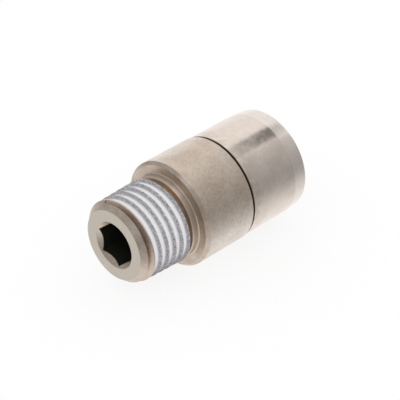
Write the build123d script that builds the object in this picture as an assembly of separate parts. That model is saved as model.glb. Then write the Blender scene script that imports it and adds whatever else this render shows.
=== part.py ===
from build123d import *
import math
import os

# Hexagon-socket male push-in fitting for a plastic air tube, in millimetres.
# Heights are measured from the threaded nose, which stands at Z = 0, up to the tube's way in.

# The tube, and the room that it gets in each bore
tube_diameter = 10.0
button_clearance = 0.10
seat_clearance = 0.06

# Male taper pipe thread of size 1/4
thread_pitch = 1.337
thread_angle = 55.0
gauge_diameter = 13.157
gauge_length = 6.0
taper = 1 / 16
thread_end = 8.60
groove_start_angle = -141.5
groove_first_turn = 0.52
sealant_first_turn = 1.34
sealant_last_turn = 6.14
groove_last_turn = 6.54
runout_turns = 0.22
sealant_drop = 0.45
cutter_overshoot = 0.25

# Nose with its key socket
nose_edge = 0.86
nose_bevel = 0.68
thread_step = 0.30
key_width = 6.0
key_depth = 6.5
key_countersink = 0.20
flow_ledge = 0.05

# Relief and collar between the thread and the shoulder
relief_width = 0.70
relief_depth = 0.02
collar_length = 1.16
collar_drop = 0.19
collar_break = 0.10
collar_fillet = 0.20

# Front body
front_length = 9.36
front_wall = 1.02
shoulder_bevel = 0.45
edge_break = 0.10
socket_depth = 4.52
flow_countersink = 0.50

# Joint between the two body halves
joint_groove_width = 0.36
joint_groove_depth = 0.40
spigot_play = 0.03
spigot_gap = 0.20
spigot_lead = 0.25
ring_section = 1.00
ring_play = 0.01
ring_groove_width = 1.40
ring_groove_offset = 1.10

# Rear sleeve
pocket_floor = 2.08
sleeve_wall = 0.90
body_step = 0.10
seat_lead = 0.35
lip_thickness = 1.30
mouth_play = 0.30
mouth_round = 0.15
crimp_length = 2.46
crimp_depth = 0.17
rim_round = 0.25

# Seal, backup ring, grip ring and guide ring, stacked in the sleeve's pocket
stack_play = 0.05
seal_length = 2.30
seal_heel = 0.85
seal_bite = 0.20
seal_lip_wall = 0.35
seal_lip_round = 0.08
backup_web = 0.50
backup_clearance = 0.15
tooth_room = 0.45
grip_thickness = 0.30
grip_bite = 0.15
grip_slope = 40.0
grip_root_step = 0.05
grip_teeth = 12
grip_slot = 0.55
guide_neck = 1.40
guide_wall = 0.90

# Release button
button_travel = 1.00
travel_stop = 0.10
head_thickness = 1.30
head_wall = 1.20
head_round = 0.30
button_flare = 0.50
stem_wall = 0.62
stem_play = 0.08
bead_catch = 0.38
bead_height = 0.60
bead_gap = 0.05
bead_play = 0.20
nose_wall = 0.50
nose_land = 0.15
nose_reach = 0.60
button_slots = 4
slot_width = 0.80
slot_length = 3.80

# Radii that follow, from the tube outwards
tube_radius = tube_diameter / 2
bore_radius = tube_radius + button_clearance
seat_radius = tube_radius + seat_clearance
stem_radius = bore_radius + stem_wall
bead_radius = stem_radius + bead_catch
recess_radius = bead_radius + bead_play
stack_radius = recess_radius + guide_wall
pocket_radius = stack_radius + stack_play
sleeve_radius = pocket_radius + sleeve_wall
body_radius = sleeve_radius + body_step
socket_radius = body_radius - front_wall
spigot_radius = socket_radius - spigot_play
head_radius = bore_radius + head_wall
mouth_radius = head_radius + mouth_play
flow_radius = key_width / 2 - flow_ledge

# Heights that follow, from the nose upwards
collar_start = thread_end + relief_width
shoulder_height = collar_start + collar_length
front_end = shoulder_height + front_length
tube_stop = front_end - socket_depth
spigot_end = tube_stop + spigot_gap
pocket_bottom = front_end + pocket_floor
backup_bottom = pocket_bottom + seal_length
grip_bottom = backup_bottom + backup_web + tooth_room + nose_reach + button_travel - grip_thickness
guide_bottom = grip_bottom + grip_thickness
neck_bottom = guide_bottom + travel_stop + button_travel + bead_height + bead_gap
lip_inner = neck_bottom + guide_neck
rim_height = lip_inner + lip_thickness
head_bottom = lip_inner + travel_stop + button_travel
button_face = head_bottom + head_thickness

# Thread form: a sharp V, cut off by a sixth of its height at crest and root
thread_depth = thread_pitch / 3 / math.tan(math.radians(thread_angle / 2))
root_flat = thread_pitch / 6


def turned(*outline):
    """Solid of revolution about Z from (radius, height) corners, with a third number where one is rounded."""
    corners = [(corner[0], corner[1]) for corner in outline]
    rounds = [corner[2] if len(corner) > 2 else 0 for corner in outline]
    section = Plane.XZ * make_face(FilletPolyline(*corners, radius=rounds, close=True))
    return revolve(section, Axis.Z)


def crest_radius(height, drop=0.0):
    """Radius of the thread's taper at a height, less a depth below the crests."""
    return (gauge_diameter - (gauge_length - height) * taper) / 2 - drop


def thread_groove(start, end, climb=0.0):
    """Helical V groove between two counts of turns, as the solid that it removes behind the nose.

    The climb is the angle at which the cutter draws out of the thread.
    """
    low = start * thread_pitch
    crest = crest_radius(low)
    half_root = root_flat / 2
    half_mouth = half_root + (thread_depth + cutter_overshoot) * math.tan(math.radians(thread_angle / 2))
    section = make_face(
        Polyline(
            (crest - thread_depth, 0, low - half_root),
            (crest - thread_depth, 0, low + half_root),
            (crest + cutter_overshoot, 0, low + half_mouth),
            (crest + cutter_overshoot, 0, low - half_mouth),
            close=True,
        )
    )
    cone = math.degrees(math.atan(taper / 2)) + climb
    path = Edge.make_helix(thread_pitch, (end - start) * thread_pitch, crest, (0, 0, low), (0, 0, 1), cone)
    groove = sweep(section, path, is_frenet=True).rotate(Axis.Z, 360 * start + groove_start_angle)
    zone_radius = crest_radius(thread_end) + 2 * cutter_overshoot
    zone = turned((0, nose_edge), (zone_radius, nose_edge), (zone_radius, thread_end), (0, thread_end))
    return groove & zone


def key_socket():
    """Hexagonal socket with a corner on X, its countersink and the flow bore behind it."""
    corner_radius = key_width / math.sqrt(3)
    hexagon = extrude(RegularPolygon(corner_radius, 6), key_depth)
    sink_radius = corner_radius + key_countersink
    countersink = turned((0, 0), (sink_radius, 0), (flow_radius, sink_radius - flow_radius), (0, key_depth))
    flow_bore = turned(
        (0, 0),
        (flow_radius, 0),
        (flow_radius, tube_stop - flow_countersink),
        (flow_radius + flow_countersink, tube_stop),
        (0, tube_stop),
    )
    return hexagon + countersink + flow_bore


def stud_body():
    """Nose, thread, collar, shoulder and front half of the body, turned from one bar."""
    lead_height = nose_edge + thread_step
    edge_radius = crest_radius(lead_height) - thread_step
    nose = turned(
        (0, 0),
        (edge_radius - nose_bevel, 0),
        (edge_radius, nose_edge),
        (crest_radius(lead_height), lead_height),
        (crest_radius(thread_end), thread_end),
        (0, thread_end),
    )
    turns = (groove_first_turn, sealant_first_turn, sealant_last_turn, groove_last_turn)
    for start, end in zip(turns, turns[1:]):
        nose -= thread_groove(start, end)
    draw_out = math.degrees(math.atan(thread_depth / (runout_turns * thread_pitch)))
    nose -= thread_groove(groove_last_turn, groove_last_turn + runout_turns, draw_out)
    relief_radius = crest_radius(thread_end) - thread_depth - relief_depth
    collar_radius = crest_radius(thread_end) - collar_drop
    shoulder_face = body_radius - shoulder_bevel - collar_radius
    body = turned(
        (0, thread_end),
        (relief_radius, thread_end),
        (relief_radius, collar_start),
        (collar_radius - collar_break, collar_start),
        (collar_radius, collar_start + collar_break),
        (collar_radius, shoulder_height, min(collar_fillet, shoulder_face / 2)),
        (body_radius - shoulder_bevel, shoulder_height),
        (body_radius, shoulder_height + shoulder_bevel),
        (body_radius, front_end - edge_break),
        (body_radius - edge_break, front_end),
        (socket_radius + spigot_lead, front_end),
        (socket_radius, front_end - spigot_lead),
        (socket_radius, tube_stop),
        (0, tube_stop),
    )
    return nose + body - key_socket()


def thread_sealant():
    """Sealing compound that fills the thread's valleys, lower than the crests."""
    fill = turned(
        (0, nose_edge),
        (crest_radius(nose_edge, sealant_drop), nose_edge),
        (crest_radius(thread_end, sealant_drop), thread_end),
        (0, thread_end),
    )
    return thread_groove(sealant_first_turn, sealant_last_turn) & fill


def rear_sleeve():
    """Rear half of the body: spigot, ring groove, tube seat, pocket and rolled-in rim."""
    groove_floor = socket_radius - ring_section - 2 * ring_play
    groove_low = spigot_end + ring_groove_offset
    groove_high = groove_low + ring_groove_width
    joint_floor = sleeve_radius - joint_groove_depth
    sleeve_start = front_end + joint_groove_width
    return turned(
        (seat_radius, spigot_end),
        (spigot_radius - spigot_lead, spigot_end),
        (spigot_radius, spigot_end + spigot_lead),
        (spigot_radius, groove_low),
        (groove_floor, groove_low),
        (groove_floor, groove_high),
        (spigot_radius, groove_high),
        (spigot_radius, front_end),
        (joint_floor, front_end),
        (joint_floor, sleeve_start),
        (sleeve_radius - edge_break, sleeve_start),
        (sleeve_radius, sleeve_start + edge_break),
        (sleeve_radius, rim_height - crimp_length),
        (sleeve_radius - crimp_depth, rim_height, rim_round),
        (mouth_radius, rim_height, mouth_round),
        (mouth_radius, lip_inner),
        (pocket_radius, lip_inner),
        (pocket_radius, pocket_bottom),
        (seat_radius + seat_lead, pocket_bottom),
        (seat_radius, pocket_bottom - seat_lead),
    )


def body_ring():
    """Rubber ring in the spigot's groove, which seals the joint between the body halves."""
    centre_height = spigot_end + ring_groove_offset + ring_groove_width / 2
    centre_radius = socket_radius - ring_play - ring_section / 2
    section = Plane.XZ * Pos(centre_radius, centre_height) * Circle(ring_section / 2)
    return revolve(section, Axis.Z)


def tube_seal():
    """Lip seal round the tube, with both lips turned towards the pressure."""
    low = pocket_bottom
    lip_radius = tube_radius - seal_bite
    heel_bottom = backup_bottom - seal_heel
    valley = (seat_radius + stack_radius) / 2
    valley_height = heel_bottom - seal_lip_wall
    return turned(
        (stack_radius, low),
        (stack_radius, backup_bottom),
        (seat_radius, backup_bottom),
        (seat_radius, heel_bottom),
        (lip_radius, low + 2 * seal_lip_wall),
        (lip_radius, low + seal_lip_wall, seal_lip_round),
        (lip_radius + seal_lip_wall, low, seal_lip_round),
        (valley - seal_lip_wall, valley_height),
        (valley + seal_lip_wall, valley_height),
        (stack_radius - 2 * seal_lip_wall, low),
    )


def backup_ring():
    """Ring that holds the seal back and leaves the teeth room to swing."""
    wall_radius = recess_radius + grip_root_step
    web_radius = seat_radius + backup_clearance
    return turned(
        (web_radius, backup_bottom),
        (stack_radius, backup_bottom),
        (stack_radius, grip_bottom),
        (wall_radius, grip_bottom),
        (wall_radius, backup_bottom + backup_web),
        (web_radius, backup_bottom + backup_web),
    )


def grip_ring():
    """Spring-steel ring whose teeth slope inwards, the way that the tube goes in."""
    root = recess_radius + grip_root_step
    tip = tube_radius - grip_bite
    angle = math.radians(grip_slope)
    sheet = grip_thickness / math.cos(angle)
    tip_height = guide_bottom - (root - tip) * math.tan(angle)
    ring = turned(
        (stack_radius, grip_bottom),
        (stack_radius, guide_bottom),
        (root, guide_bottom),
        (tip, tip_height),
        (tip, tip_height - sheet),
        (root, guide_bottom - sheet),
        (root, grip_bottom),
    )
    slot_end = root - grip_slot
    slot_depth = 2 * (guide_bottom - tip_height + sheet)
    slot = Pos(slot_end / 2, 0, tip_height) * Box(slot_end, grip_slot, slot_depth)
    for number in range(grip_teeth):
        ring -= slot.rotate(Axis.Z, number * 360 / grip_teeth)
    return ring


def guide_ring():
    """Bush behind the rim that carries the button's stem and backs the grip ring."""
    neck_radius = stem_radius + stem_play
    return turned(
        (neck_radius, lip_inner),
        (stack_radius, lip_inner),
        (stack_radius, guide_bottom),
        (recess_radius, guide_bottom),
        (recess_radius, neck_bottom),
        (neck_radius, neck_bottom),
    )


def release_button():
    """Button with a slotted stem, a catch bead and a nose that opens the teeth."""
    nose_radius = bore_radius + nose_wall
    bead_top = neck_bottom - bead_gap
    bead_bottom = bead_top - bead_height
    ramp = (bead_radius - nose_radius) / 2
    stem_end = guide_bottom - nose_reach
    button = turned(
        (bore_radius, button_face, button_flare),
        (head_radius, button_face, head_round),
        (head_radius, head_bottom),
        (stem_radius, head_bottom),
        (stem_radius, bead_top),
        (bead_radius, bead_top),
        (bead_radius, bead_bottom + ramp),
        (nose_radius, bead_bottom - ramp),
        (nose_radius, stem_end + nose_wall - nose_land),
        (bore_radius + nose_land, stem_end),
        (bore_radius, stem_end),
    )
    slot = Pos(head_radius / 2, 0, stem_end + slot_length / 2) * Box(head_radius, slot_width, slot_length)
    for number in range(button_slots):
        button -= slot.rotate(Axis.Z, (number + 0.5) * 360 / button_slots)
    return button


os.makedirs("parts", exist_ok=True)
export_step(stud_body(), "parts/stud_body.step")
export_step(thread_sealant(), "parts/thread_sealant.step")
export_step(rear_sleeve(), "parts/rear_sleeve.step")
export_step(body_ring(), "parts/body_ring.step")
export_step(tube_seal(), "parts/tube_seal.step")
export_step(backup_ring(), "parts/backup_ring.step")
export_step(grip_ring(), "parts/grip_ring.step")
export_step(guide_ring(), "parts/guide_ring.step")
export_step(release_button(), "parts/release_button.step")
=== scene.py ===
import math

import bpy
from mathutils import Matrix, Vector

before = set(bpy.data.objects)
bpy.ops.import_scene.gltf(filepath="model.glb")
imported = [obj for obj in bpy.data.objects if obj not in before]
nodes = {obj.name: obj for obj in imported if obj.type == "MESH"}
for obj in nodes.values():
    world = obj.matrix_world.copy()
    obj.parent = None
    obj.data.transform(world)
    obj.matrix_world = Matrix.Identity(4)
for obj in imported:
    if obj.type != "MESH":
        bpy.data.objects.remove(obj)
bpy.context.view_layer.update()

MM = 0.001

# Sizes of the solids that the materials follow, in millimetres
BODY_RADIUS = 8.25
PITCH = 1.337
TAPER = 1 / 32
CREST_AT_NOSE = 6.391
NOSE_FACE = 0.12
THREAD_TO = 8.60
COLLAR = 9.30
SHOULDER = 10.46
JOINT = (19.82, 20.18)
BAND = (28.68, 28.80)

# Radii between which a zone fades in or out, in millimetres; the sink's are radius plus height
SOCKET_EDGE = (3.52, 3.58)
SINK_EDGE = (3.70, 3.76)
THREAD_CORE = (4.5, 4.7)
COLLAR_SIDE = (6.5, 6.6)
COLLAR_EDGE = (6.60, 6.70)
BEVEL_EDGE = (7.80, 7.90)

# The groove's start in degrees, the turns that are filled, and the coat's lead over the groove
GROOVE_START = -141.5
SEALED_TURNS = (1.34, 6.14)
COAT_LEAD = 0.38

# Tinted sides of the front half: middle, half width and fade, in turns from +X. They were placed
# by the tones of the photograph, so they lie on the side that it shows. The first is painted
# shade, the second a painted highlight, the third a spot of bare brass.
SHADED_SIDE = (0.29, 0.14, 0.05)
GLINT_SPOT = (0.268, 0.022, 0.016)
BRASS_SPOT = (0.245, 0.03, 0.015)

JOINT_BROWN = (0.10, 0.07, 0.045)
WHITE = (1.0, 1.0, 1.0)


class Tree:
    """Node tree of a material or of the world, with short calls for the nodes that are used."""

    def __init__(self, name, world=False):
        if world:
            owner = bpy.data.worlds.new(name)
        else:
            owner = bpy.data.materials.new(name)
        owner.use_nodes = True
        self.owner = owner
        self.nodes = owner.node_tree.nodes
        self.links = owner.node_tree.links
        self.nodes.clear()

    def node(self, kind, inputs=None, **settings):
        made = self.nodes.new(kind)
        for key, value in settings.items():
            setattr(made, key, value)
        for key, value in (inputs or {}).items():
            self.feed(made.inputs[key], value)
        return made

    def feed(self, socket, value):
        if isinstance(value, bpy.types.NodeSocket):
            self.links.new(value, socket)
        elif isinstance(value, tuple) and len(value) == 3 and socket.type == "RGBA":
            socket.default_value = (*value, 1.0)
        else:
            socket.default_value = value

    def math(self, operation, a, b=0.0, c=0.0):
        made = self.node("ShaderNodeMath", operation=operation)
        self.feed(made.inputs[0], a)
        self.feed(made.inputs[1], b)
        self.feed(made.inputs[2], c)
        return made.outputs[0]

    def plus(self, a, b):
        return self.math("ADD", a, b)

    def minus(self, a, b):
        return self.math("SUBTRACT", a, b)

    def times(self, a, b):
        return self.math("MULTIPLY", a, b)

    def both(self, a, b):
        """Where two masks overlap."""
        return self.times(a, b)

    def either(self, a, b):
        """Where one of two masks is."""
        return self.math("MAXIMUM", a, b)

    def between(self, value, low, high, to_low=0.0, to_high=1.0):
        """Smooth step from to_low to to_high while the value goes from low to high."""
        inputs = {"Value": value, "From Min": low, "From Max": high}
        inputs.update({"To Min": to_low, "To Max": to_high})
        return self.node("ShaderNodeMapRange", inputs, interpolation_type="SMOOTHSTEP").outputs[0]

    def under(self, value, low, high):
        """Mask that fades out while the value goes from low to high."""
        return self.between(value, low, high, 1.0, 0.0)

    def around(self, turn, middle, half, fade):
        """Mask of one side of the part, in turns."""
        offset = self.minus(self.math("FRACT", self.plus(turn, 0.5 - middle)), 0.5)
        return self.under(self.math("ABSOLUTE", offset), half - fade, half + fade)

    def mix(self, factor, a, b):
        made = self.node("ShaderNodeMix", data_type="RGBA")
        self.feed(made.inputs[0], factor)
        self.feed(made.inputs[6], a)
        self.feed(made.inputs[7], b)
        return made.outputs[2]

    def scaled(self, vector, value):
        """A colour or a vector times a number."""
        made = self.node("ShaderNodeVectorMath", operation="SCALE")
        self.feed(made.inputs[0], vector)
        self.feed(made.inputs["Scale"], value)
        return made.outputs[0]

    def stretched(self, point, along):
        """The point squeezed along the axes, for marks that run round the part or along it."""
        made = self.node("ShaderNodeVectorMath", operation="MULTIPLY")
        self.feed(made.inputs[0], point)
        self.feed(made.inputs[1], along)
        return made.outputs[0]

    def ramp(self, factor, stops):
        made = self.node("ShaderNodeValToRGB", {"Fac": factor})
        band = made.color_ramp
        while len(band.elements) < len(stops):
            band.elements.new(1.0)
        for element, (place, colour) in zip(band.elements, stops):
            element.position = place
            element.color = (*colour, 1.0)
        return made.outputs["Color"]

    def noise(self, vector, scale, detail, roughness):
        inputs = {"Vector": vector, "Scale": scale, "Detail": detail, "Roughness": roughness}
        return self.node("ShaderNodeTexNoise", inputs).outputs["Fac"]

    def point(self):
        """The point on the part, in millimetres."""
        return self.scaled(self.node("ShaderNodeTexCoord").outputs["Object"], 1 / MM)

    def split(self, vector):
        return self.node("ShaderNodeSeparateXYZ", {"Vector": vector}).outputs

    def radius(self, x, y):
        return self.math("SQRT", self.plus(self.times(x, x), self.times(y, y)))

    def turn(self, x, y):
        """Angle round the axis, in turns from +X."""
        return self.math("DIVIDE", self.math("ARCTAN2", y, x), math.tau)

    def shader(self, colour, metallic, roughness, bump, bump_height):
        bumped = self.node(
            "ShaderNodeBump", {"Height": bump, "Distance": bump_height * MM, "Strength": 1.0}
        )
        made = self.node(
            "ShaderNodeBsdfPrincipled",
            {
                "Base Color": colour,
                "Metallic": metallic,
                "Roughness": roughness,
                "Normal": bumped.outputs[0],
            },
        )
        self.node("ShaderNodeOutputMaterial", {"Surface": made.outputs[0]})


def front_plating(tree, point, radius, height, turn, mottle, grain):
    """Colour of the front half: mottled nickel, with zones of its own tone, painted shade on one
    side, in the relief and in the key socket, and a painted highlight on the collar and the bevel.
    """
    cloud = tree.noise(point, 0.45, 3.0, 0.55)
    shade = tree.plus(
        tree.between(mottle, 0.25, 0.75, 0.86, 1.12), tree.between(cloud, 0.3, 0.7, -0.05, 0.05)
    )
    shade = tree.times(shade, tree.between(grain, 0.2, 0.8, 0.92, 1.08))

    # Painted shade: browner on one side; and browner all round from the nose to the bevel, as its
    # own tone
    before_body = tree.under(height, SHOULDER + 0.3, SHOULDER + 0.9)
    shaded_side_and_front_zone = tree.either(tree.around(turn, *SHADED_SIDE), before_body)
    brown = tree.mix(tree.between(cloud, 0.35, 0.65), (0.66, 0.55, 0.46), (0.67, 0.58, 0.50))
    plating = tree.scaled(tree.mix(shaded_side_and_front_zone, (0.84, 0.78, 0.71), brown), shade)

    # Nose face and collar
    plating = tree.mix(tree.under(height, 0.0, NOSE_FACE), plating, (0.63, 0.58, 0.51))
    collar = tree.both(
        tree.between(height, COLLAR - 0.02, COLLAR + 0.02), tree.under(radius, *COLLAR_EDGE)
    )
    plating = tree.mix(collar, plating, (0.72, 0.63, 0.54))

    # Painted shade in the relief behind the thread, where the undercut lies in shadow, with a spot
    # of bare brass
    relief_zone = tree.both(
        tree.between(height, THREAD_TO - 1.2, THREAD_TO - 0.3),
        tree.under(height, COLLAR - 0.05, COLLAR),
    )
    shaded_relief = tree.mix(tree.between(mottle, 0.40, 0.62), (0.50, 0.41, 0.33), (0.66, 0.51, 0.38))
    brass = tree.both(tree.around(turn, *BRASS_SPOT), tree.between(mottle, 0.35, 0.55))
    shaded_relief = tree.mix(brass, shaded_relief, (0.85, 0.58, 0.36))
    plating = tree.mix(relief_zone, plating, shaded_relief)

    # Painted highlight: pale spot on the collar and the bevel, where the photograph has a glint
    off_face = tree.either(tree.under(radius, *COLLAR_SIDE), tree.between(radius, *BEVEL_EDGE))
    painted_glint = tree.both(off_face, tree.between(height, COLLAR, COLLAR + 0.1))
    painted_glint = tree.both(tree.around(turn, *GLINT_SPOT), painted_glint)
    painted_glint = tree.both(painted_glint, tree.under(height, SHOULDER + 0.40, SHOULDER + 0.60))
    plating = tree.mix(painted_glint, plating, (0.97, 0.86, 0.76))

    # Painted shade inside the key socket, and the dark joint groove
    socket_shade = tree.both(
        tree.under(radius, *SOCKET_EDGE), tree.between(tree.plus(radius, height), *SINK_EDGE)
    )
    plating = tree.mix(socket_shade, plating, (0.20, 0.20, 0.165))
    groove = tree.between(height, JOINT[0] - 0.07, JOINT[0] - 0.05)
    return tree.mix(groove, plating, JOINT_BROWN)


def thread_coat(tree, point, radius, height, turn, fine):
    """Mask and colour of the coat on the thread: grey grains, paler down the flanks."""
    edge = tree.noise(point, 5.0, 3.0, 0.7)
    wobble = tree.times(tree.minus(edge, 0.5), 0.14)

    # Turns of the groove up to the point, which tell the coated turns from the bare ones
    turns_up = tree.math("DIVIDE", height, PITCH)
    from_groove = tree.minus(turns_up, tree.minus(turn, GROOVE_START / 360))
    phase = tree.math("FRACT", tree.plus(tree.plus(from_groove, COAT_LEAD), wobble))
    count = tree.minus(tree.plus(turns_up, COAT_LEAD), phase)
    begun = tree.between(count, SEALED_TURNS[0] - 0.02, SEALED_TURNS[0] + 0.02)
    filled = tree.under(count, SEALED_TURNS[1] + 0.02, SEALED_TURNS[1] + 0.08)

    # The last crest is coated as well
    below_crest = tree.minus(tree.math("MULTIPLY_ADD", height, TAPER, CREST_AT_NOSE), radius)
    last_crest = tree.both(
        tree.under(below_crest, 0.10, 0.20),
        tree.under(tree.plus(height, wobble), THREAD_TO - 0.10, THREAD_TO - 0.02),
    )
    on_thread = tree.both(
        tree.between(radius, *THREAD_CORE), tree.under(height, THREAD_TO, THREAD_TO + 0.02)
    )
    coated = tree.both(tree.both(begun, tree.either(filled, last_crest)), on_thread)

    grains = tree.ramp(
        fine,
        [(0.32, (0.15, 0.14, 0.145)), (0.50, (0.33, 0.315, 0.325)), (0.66, (0.66, 0.65, 0.67))],
    )
    depth = tree.plus(below_crest, wobble)
    return coated, tree.mix(tree.between(depth, 0.20, 0.43), grains, (0.62, 0.63, 0.68))


def nickel_front():
    """Satin nickel of the front half, with the coat on its thread."""
    tree = Tree("nickel_front")
    point = tree.point()
    x, y, height = tree.split(point)
    radius = tree.radius(x, y)
    turn = tree.turn(x, y)
    mottle = tree.noise(point, 2.6, 4.0, 0.65)
    grain = tree.noise(point, 9.0, 3.0, 0.65)
    fine = tree.noise(point, 4.5, 3.0, 0.75)
    rings = tree.noise(tree.stretched(point, (0.35, 0.35, 9.0)), 1.0, 3.0, 0.6)
    plating = front_plating(tree, point, radius, height, turn, mottle, grain)
    coated, coat = thread_coat(tree, point, radius, height, turn, fine)

    colour = tree.mix(coated, plating, coat)
    metallic = tree.minus(1.0, coated)
    plain_rough = tree.plus(tree.between(mottle, 0.3, 0.7, 0.36, 0.46), tree.times(grain, 0.04))
    rough = tree.plus(tree.times(coated, 0.25), plain_rough)
    relief = tree.plus(tree.times(rings, 0.35), tree.times(mottle, 0.65))
    relief = tree.plus(relief, tree.times(grain, 0.4))
    relief = tree.plus(relief, tree.times(tree.times(fine, coated), 7.0))
    tree.shader(colour, metallic, rough, relief, 0.010)
    return tree.owner


def nickel_rear():
    """Smoother and brighter nickel, with faint turning marks round it and a dark joint groove."""
    tree = Tree("nickel_rear")
    point = tree.point()
    height = tree.split(point)[2]
    cloud = tree.noise(point, 0.35, 3.0, 0.55)
    mottle = tree.noise(point, 1.8, 4.0, 0.6)
    patches = tree.noise(point, 0.9, 3.0, 0.6)
    rings = tree.noise(tree.stretched(point, (0.2, 0.2, 12.0)), 1.0, 3.0, 0.6)

    # Paler band at the rim, cloudy patches beside the joint
    warm = tree.mix(tree.between(cloud, 0.35, 0.65), (0.79, 0.70, 0.63), (0.80, 0.72, 0.66))
    warm = tree.mix(tree.between(height, *BAND), warm, (0.84, 0.77, 0.72))
    beside = tree.both(
        tree.under(height, JOINT[1] + 0.3, JOINT[1] + 3.2), tree.between(patches, 0.42, 0.58)
    )
    warm = tree.mix(tree.times(beside, 0.8), warm, (0.66, 0.57, 0.49))
    groove = tree.under(height, JOINT[1] + 0.05, JOINT[1] + 0.07)
    warm = tree.mix(groove, warm, JOINT_BROWN)
    shade = tree.plus(
        tree.between(mottle, 0.25, 0.75, 0.96, 1.03), tree.between(cloud, 0.3, 0.7, -0.03, 0.03)
    )

    metallic = tree.minus(1.0, tree.times(groove, 0.6))
    rough = tree.between(mottle, 0.3, 0.7, 0.19, 0.25)
    relief = tree.plus(tree.times(rings, 0.3), tree.times(mottle, 0.7))
    tree.shader(tree.scaled(warm, shade), metallic, rough, relief, 0.006)
    return tree.owner


def nickel_inner(name, colour, roughness):
    """Turned nickel of the hidden rings and the button."""
    tree = Tree(name)
    point = tree.point()
    mottle = tree.noise(point, 2.2, 4.0, 0.6)
    rings = tree.noise(tree.stretched(point, (0.3, 0.3, 10.0)), 1.0, 3.0, 0.6)
    paler = tuple(1.06 * part for part in colour)
    tinted = tree.scaled(tree.mix(mottle, colour, paler), tree.between(rings, 0.2, 0.8, 0.94, 1.04))
    rough = tree.between(mottle, 0.3, 0.7, roughness - 0.04, roughness + 0.05)
    tree.shader(tinted, 1.0, rough, rings, 0.006)
    return tree.owner


def sealant():
    """Dry white sealing compound, rough at its edges and a little lilac in its hollows."""
    tree = Tree("sealant_white")
    point = tree.point()
    edge = tree.noise(point, 5.0, 3.0, 0.7)
    fine = tree.noise(point, 13.0, 3.0, 0.7)
    colour = tree.ramp(
        fine,
        [(0.25, (0.66, 0.65, 0.72)), (0.42, (0.86, 0.85, 0.87)), (0.75, (0.93, 0.92, 0.92))],
    )
    rough = tree.between(edge, 0.3, 0.7, 0.55, 0.70)
    relief = tree.plus(tree.times(edge, 0.5), fine)
    tree.shader(colour, 0.0, rough, relief, 0.05)
    return tree.owner


def rubber():
    """Matt black rubber with a fine bloom."""
    tree = Tree("rubber_black")
    bloom = tree.noise(tree.point(), 6.0, 4.0, 0.6)
    colour = tree.ramp(bloom, [(0.3, (0.018, 0.018, 0.019)), (0.8, (0.045, 0.044, 0.044))])
    rough = tree.between(bloom, 0.3, 0.7, 0.55, 0.72)
    tree.shader(colour, 0.0, rough, bloom, 0.01)
    return tree.owner


def spring_steel():
    """Stamped stainless sheet with rolling marks."""
    tree = Tree("spring_steel")
    marks = tree.noise(tree.stretched(tree.point(), (8.0, 0.6, 8.0)), 1.0, 3.0, 0.6)
    colour = tree.ramp(marks, [(0.25, (0.50, 0.50, 0.50)), (0.75, (0.66, 0.66, 0.65))])
    rough = tree.between(marks, 0.3, 0.7, 0.22, 0.34)
    tree.shader(colour, 1.0, rough, marks, 0.004)
    return tree.owner


def dress(node, material):
    slots = nodes[node].material_slots
    for slot in slots:
        slot.material = material
    if not slots:
        nodes[node].data.materials.append(material)


# Finishes of the pieces
dress("stud_body", nickel_front())
dress("rear_sleeve", nickel_rear())
dress("thread_sealant", sealant())
black = rubber()
dress("body_ring", black)
dress("tube_seal", black)
inner = nickel_inner("nickel_inner", (0.64, 0.58, 0.50), 0.30)
dress("backup_ring", inner)
dress("guide_ring", inner)
dress("release_button", nickel_inner("nickel_button", (0.68, 0.63, 0.58), 0.26))
dress("grip_ring", spring_steel())


# Camera, from the view that was fitted to the photograph: focal length and image in pixels,
# the nose's centre in body radii, and the part's axis by its angles to the image
FOCAL = 1787.5
IMAGE = 400
SENSOR = 36.0
NOSE_CENTRE = Vector((-1.4655, 0.7730, 30.368)) * BODY_RADIUS * MM
AXIS_SIDE = math.radians(-29.722)
AXIS_DEPTH = math.radians(35.363)
TURN = math.radians(45)

axis = Vector(
    (
        math.cos(AXIS_DEPTH) * math.cos(AXIS_SIDE),
        math.cos(AXIS_DEPTH) * math.sin(AXIS_SIDE),
        math.sin(AXIS_DEPTH),
    )
)
side = axis.cross(Vector((0, 1, 0))).normalized()
over = axis.cross(side)
part_x = math.cos(TURN) * side + math.sin(TURN) * over
part_y = -math.sin(TURN) * side + math.cos(TURN) * over
seen = Matrix((part_x, part_y, axis))

camera_data = bpy.data.cameras.new("camera")
camera_data.sensor_width = SENSOR
camera_data.lens = SENSOR * FOCAL / IMAGE
camera_data.clip_start = 0.01
camera_data.clip_end = 10.0
camera = bpy.data.objects.new("camera", camera_data)
bpy.context.scene.collection.objects.link(camera)
flip = Matrix(((1, 0, 0), (0, -1, 0), (0, 0, -1)))
turned_to = (seen @ flip).to_4x4()
turned_to.translation = -(seen @ NOSE_CENTRE)
camera.matrix_world = turned_to
bpy.context.scene.camera = camera


def stage_plane(name, corners, material, unseen):
    """Flat four-cornered piece of the stage, with the kinds of ray that don't meet it."""
    mesh = bpy.data.meshes.new(name)
    mesh.from_pydata(corners, [], [(0, 1, 2, 3)])
    mesh.materials.append(material)
    made = bpy.data.objects.new(name, mesh)
    bpy.context.scene.collection.objects.link(made)
    for visibility in unseen:
        setattr(made, visibility, False)


# Floors: the one that the fitting lies on in the photograph, and the one that it stands on. The
# angle at which the part lies, half a floor in metres, its gap to the part in millimetres, and
# the share of what the camera sees of it that is plain white
UP_ANGLE = math.radians(71.3)
FLOOR_HALF = 1.5
FLOOR_GAP = 0.02
FLOOR_WHITE = 0.85


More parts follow.
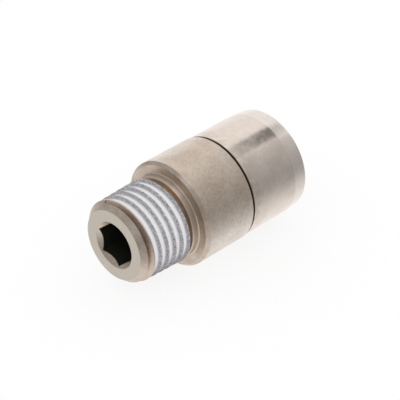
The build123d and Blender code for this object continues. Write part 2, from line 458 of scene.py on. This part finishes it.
def floor_material():
    """White floor that shows only a soft shadow, and only from above."""
    tree = Tree("floor_white")
    camera_ray = tree.node("ShaderNodeLightPath").outputs["Is Camera Ray"]
    lit = tree.node("ShaderNodeBsdfDiffuse", {"Color": (0.95, 0.95, 0.95)})
    glow = tree.node("ShaderNodeEmission", {"Color": WHITE, "Strength": 1.0})
    clear = tree.node("ShaderNodeBsdfTransparent")
    behind = tree.node("ShaderNodeNewGeometry").outputs["Backfacing"]
    surface = lit.outputs[0]
    for share, other in ((tree.times(camera_ray, FLOOR_WHITE), glow), (behind, clear)):
        mixed = tree.node("ShaderNodeMixShader")
        tree.links.new(share, mixed.inputs[0])
        tree.links.new(surface, mixed.inputs[1])
        tree.links.new(other.outputs[0], mixed.inputs[2])
        surface = mixed.outputs[0]
    tree.node("ShaderNodeOutputMaterial", {"Surface": surface})
    return tree.owner


def floor(name, normal, away, material, unseen):
    """Floor that lies the given millimetres from the origin."""
    centre = -normal * away * MM
    across = normal.orthogonal().normalized() * FLOOR_HALF
    along = normal.cross(across)
    signs = ((-1, -1), (1, -1), (1, 1), (-1, 1))
    corners = [centre + sx * across + sy * along for sx, sy in signs]
    stage_plane(name, corners, material, unseen)


white = floor_material()
up = Vector((math.cos(UP_ANGLE), math.sin(UP_ANGLE), 0))
floor("floor_lying", up, BODY_RADIUS + FLOOR_GAP, white, ["visible_glossy"])
floor(
    "floor_standing",
    Vector((0, 0, 1)),
    FLOOR_GAP,
    white,
    ["visible_glossy", "visible_diffuse", "visible_shadow", "visible_transmission"],
)


# Dark card that the sleeve mirrors as the photograph's dark streak: millimetres from the axis,
# degrees round it, millimetres above the nose
CARD_AWAY = 60.0
CARD_SPAN = (61.0, 88.0)
CARD_RISE = (60.5, 81.0)


def card():
    """Card that only mirrored rays meet."""
    tree = Tree("card_grey")
    grey = tree.node("ShaderNodeEmission", {"Color": (0.10, 0.10, 0.10)})
    tree.node("ShaderNodeOutputMaterial", {"Surface": grey.outputs[0]})
    corners = []
    for end, level in ((0, 0), (1, 0), (1, 1), (0, 1)):
        turned = math.radians(CARD_SPAN[end])
        foot = CARD_AWAY * math.cos(turned), CARD_AWAY * math.sin(turned)
        corners.append(Vector((*foot, CARD_RISE[level])) * MM)
    unseen = ["visible_camera", "visible_diffuse", "visible_shadow", "visible_transmission"]
    stage_plane("card", corners, tree.owner, unseen)


card()


# Level that mirrored rays meet in each direction, by degrees round the part: over its rear half
# and over its nose. The levels were worked out from the tones of the photograph.
REAR_LEVELS = [
    (-75, 1.02),
    (-35, 1.03),
    (0, 0.97),
    (56, 0.97),
    (84, 1.03),
    (94, 0.62),
    (110, 0.56),
    (130, 0.47),
    (160, 0.38),
    (180, 0.42),
    (205, 0.68),
    (235, 0.90),
    (270, 1.02),
]
FRONT_LEVELS = [
    (-75, 0.95),
    (-45, 0.93),
    (-30, 0.68),
    (-20, 0.42),
    (15, 0.48),
    (50, 0.54),
    (67, 0.38),
    (90, 0.57),
    (112, 0.62),
    (135, 0.42),
    (156, 0.24),
    (178, 0.47),
    (196, 0.60),
    (210, 0.84),
    (225, 0.93),
    (250, 1.00),
    (270, 1.00),
]
LEVELS_FROM = -75
LEVELS_TINT = (1.0, 0.985, 0.97)
HALVES_MEET = (0.0, 0.3)

# Dark spot straight out from the nose, and the even light on what is matt
NOSE_SPOT = (-0.95, -0.85)
NOSE_SPOT_GREY = (0.15, 0.145, 0.14)
MATT_LIGHT = (1.08, 1.08, 1.08)


def level_stops(levels):
    return [
        ((degrees - LEVELS_FROM) / 360, tuple(part * level for part in LEVELS_TINT))
        for degrees, level in levels
    ]


def studio():
    """World: white to the camera, even for matt surfaces, and uneven by direction when mirrored."""
    tree = Tree("studio", world=True)
    x, y, z = tree.split(tree.node("ShaderNodeTexCoord").outputs["Generated"])
    share = tree.math("FRACT", tree.plus(tree.turn(x, y), -LEVELS_FROM / 360))
    halves = [tree.ramp(share, level_stops(levels)) for levels in (FRONT_LEVELS, REAR_LEVELS)]
    mirrored = tree.mix(tree.between(z, *HALVES_MEET), *halves)
    mirrored = tree.mix(tree.under(z, *NOSE_SPOT), mirrored, NOSE_SPOT_GREY)
    path = tree.node("ShaderNodeLightPath")
    light = tree.mix(path.outputs["Is Diffuse Ray"], mirrored, MATT_LIGHT)
    background = tree.mix(path.outputs["Is Camera Ray"], light, WHITE)
    shade = tree.node("ShaderNodeBackground", {"Color": background, "Strength": 1.0})
    tree.node("ShaderNodeOutputWorld", {"Surface": shade.outputs[0]})
    return tree.owner


bpy.context.scene.world = studio()
bpy.context.scene.view_settings.view_transform = "Standard"
